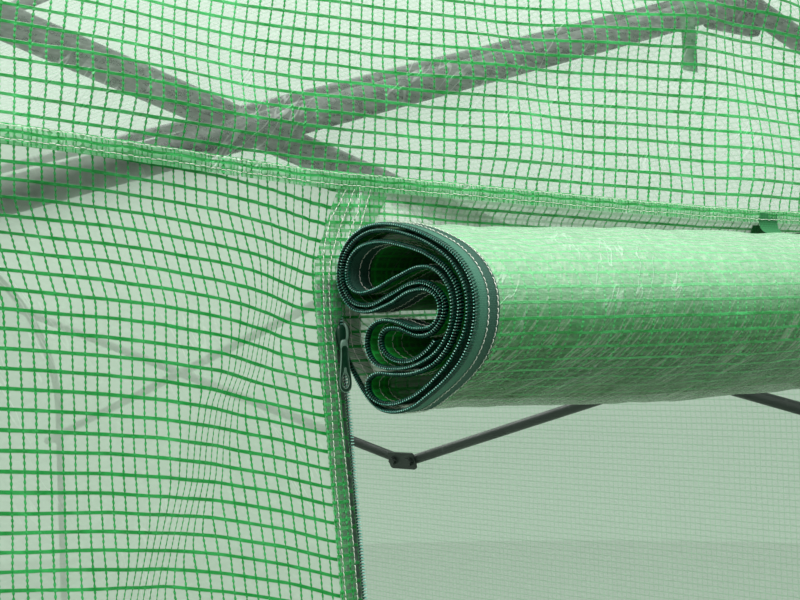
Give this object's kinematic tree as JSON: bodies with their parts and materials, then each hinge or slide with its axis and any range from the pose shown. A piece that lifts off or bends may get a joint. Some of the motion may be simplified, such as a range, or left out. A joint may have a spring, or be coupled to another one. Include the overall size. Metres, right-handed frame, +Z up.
{
  "type": "polytunnel greenhouse door end bay with roll-up zip door",
  "caption": "Walk-in polytunnel end bay: gridded film over round tube hoops and crossed braces, with its zip door rolled up and tied under the header seam, open to the tunnel behind",
  "frame": {"origin": "centre of the footprint at ground level", "axes": "+X to the right as seen from outside the door, +Y into the tunnel, +Z up"},
  "size_m": [1.922, 3.0413, 2.161],
  "materials": {
    "frame_tube": "satin",
    "bracket": "satin",
    "cover_film": "glossy",
    "door_film": "glossy",
    "seam_band": "matte",
    "webbing": "matte",
    "zip": "satin",
    "zip_metal": "satin"
  },
  "bodies": {
    "root": {"front_leg_left": "frame_tube", "front_leg_right": "frame_tube", "back_leg_left": "frame_tube", "back_leg_right": "frame_tube", "front_arch": "frame_tube", "back_arch": "frame_tube", "ridge_rail": "frame_tube", "roof_rail_left": "frame_tube", "roof_rail_right": "frame_tube", "ground_rail_left": "frame_tube", "ground_rail_right": "frame_tube", "front_brace_rising_left": "frame_tube", "front_brace_rising_right": "frame_tube", "front_brace_falling_left": "frame_tube", "front_brace_falling_right": "frame_tube", "side_brace_low_left": "frame_tube", "side_brace_low_right": "frame_tube", "side_brace_high_left": "frame_tube", "side_brace_high_right": "frame_tube", "front_bracket_top": "bracket", "front_bracket_low": "bracket", "front_brace_clamp_left": "bracket", "front_brace_clamp_right": "bracket", "front_panel_left": "cover_film", "front_panel_right": "cover_film", "front_gable_panel": "cover_film", "side_cover_left": "cover_film", "side_cover_right": "cover_film", "roof_cover": "cover_film", "rolled_door": "door_film", "header_seam": "seam_band", "jamb_hem_left": "seam_band", "jamb_hem_right": "seam_band", "cover_strap_left": "webbing", "cover_strap_right": "webbing", "roll_tie": "webbing", "jamb_zip_left": "zip", "jamb_zip_right": "zip", "door_zip_left": "zip", "door_zip_right": "zip", "zip_slider_left": "zip_metal", "zip_slider_right": "zip_metal", "zip_pull_left": "zip_metal", "zip_pull_right": "zip_metal"}
  },
  "joints": []
}
